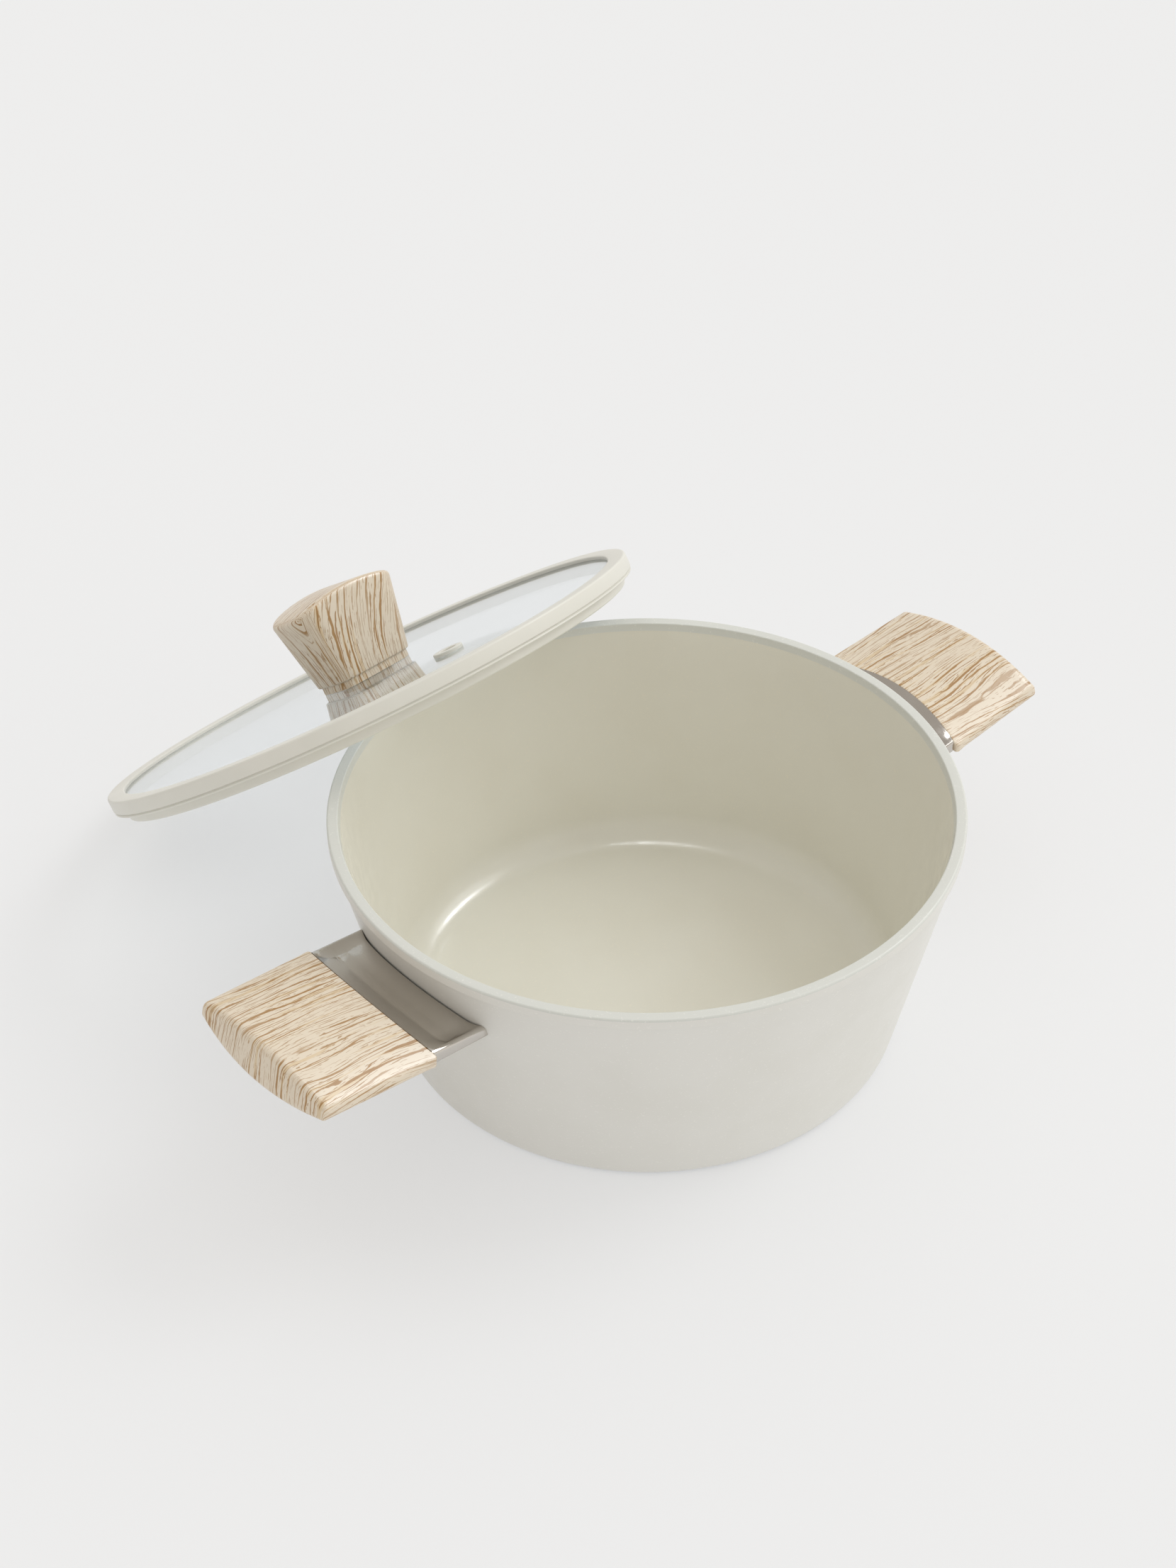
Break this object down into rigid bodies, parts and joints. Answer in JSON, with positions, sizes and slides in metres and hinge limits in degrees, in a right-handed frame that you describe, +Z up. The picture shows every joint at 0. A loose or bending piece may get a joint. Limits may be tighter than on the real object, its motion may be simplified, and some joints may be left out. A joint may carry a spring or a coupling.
{
  "type": "saucepan with lid",
  "caption": "Round two-handled cooking pot with a flat glass lid leaning against its rim; moulded side grips on steel guards, silicone-edged lid with a flared knob and a steam vent.",
  "frame": {"origin": "centre of the pot's underside, in the plane of the worktop", "axes": "+X runs along the two side handles, +Z is up, and the lid leans on the +Y side"},
  "size_m": [0.3812, 0.3927, 0.1501],
  "materials": {
    "pot_coating": "cast aluminium with a cream-white matt coating outside and a warm beige ceramic coating inside",
    "base_steel": "turned ferritic stainless steel",
    "lug_metal": "plain aluminium",
    "guard_steel": "pressed and polished stainless steel",
    "grip_moulding": "moulded phenolic with a pale wood-grain film and a satin lacquer",
    "fixing_steel": "plain stainless steel fasteners",
    "lid_glass": "clear tempered flat glass",
    "lid_silicone": "cream moulded silicone, satin",
    "insert_brass": "turned brass",
    "seal_silicone": "translucent silicone"
  },
  "bodies": {
    "pot": {"pot_shell": "pot_coating", "base_disc": "base_steel", "left_lug": "lug_metal", "left_flame_guard": "guard_steel", "left_grip": "grip_moulding", "left_grip_screws": "fixing_steel", "left_screw_washers": "fixing_steel", "right_lug": "lug_metal", "right_flame_guard": "guard_steel", "right_grip": "grip_moulding", "right_grip_screws": "fixing_steel", "right_screw_washers": "fixing_steel"},
    "lid": {"glass_disc": "lid_glass", "silicone_rim": "lid_silicone", "vent_grommet": "lid_silicone", "knob": "grip_moulding", "knob_insert": "insert_brass", "knob_seal": "seal_silicone", "under_seal": "seal_silicone", "cup_washer": "fixing_steel", "knob_screw": "fixing_steel"}
  },
  "joints": [
    {"name": "lid_lift", "type": "slide", "parent": "pot", "child": "lid", "axis": [0, 0, 1], "range_m": [0, 0.16]}
  ]
}
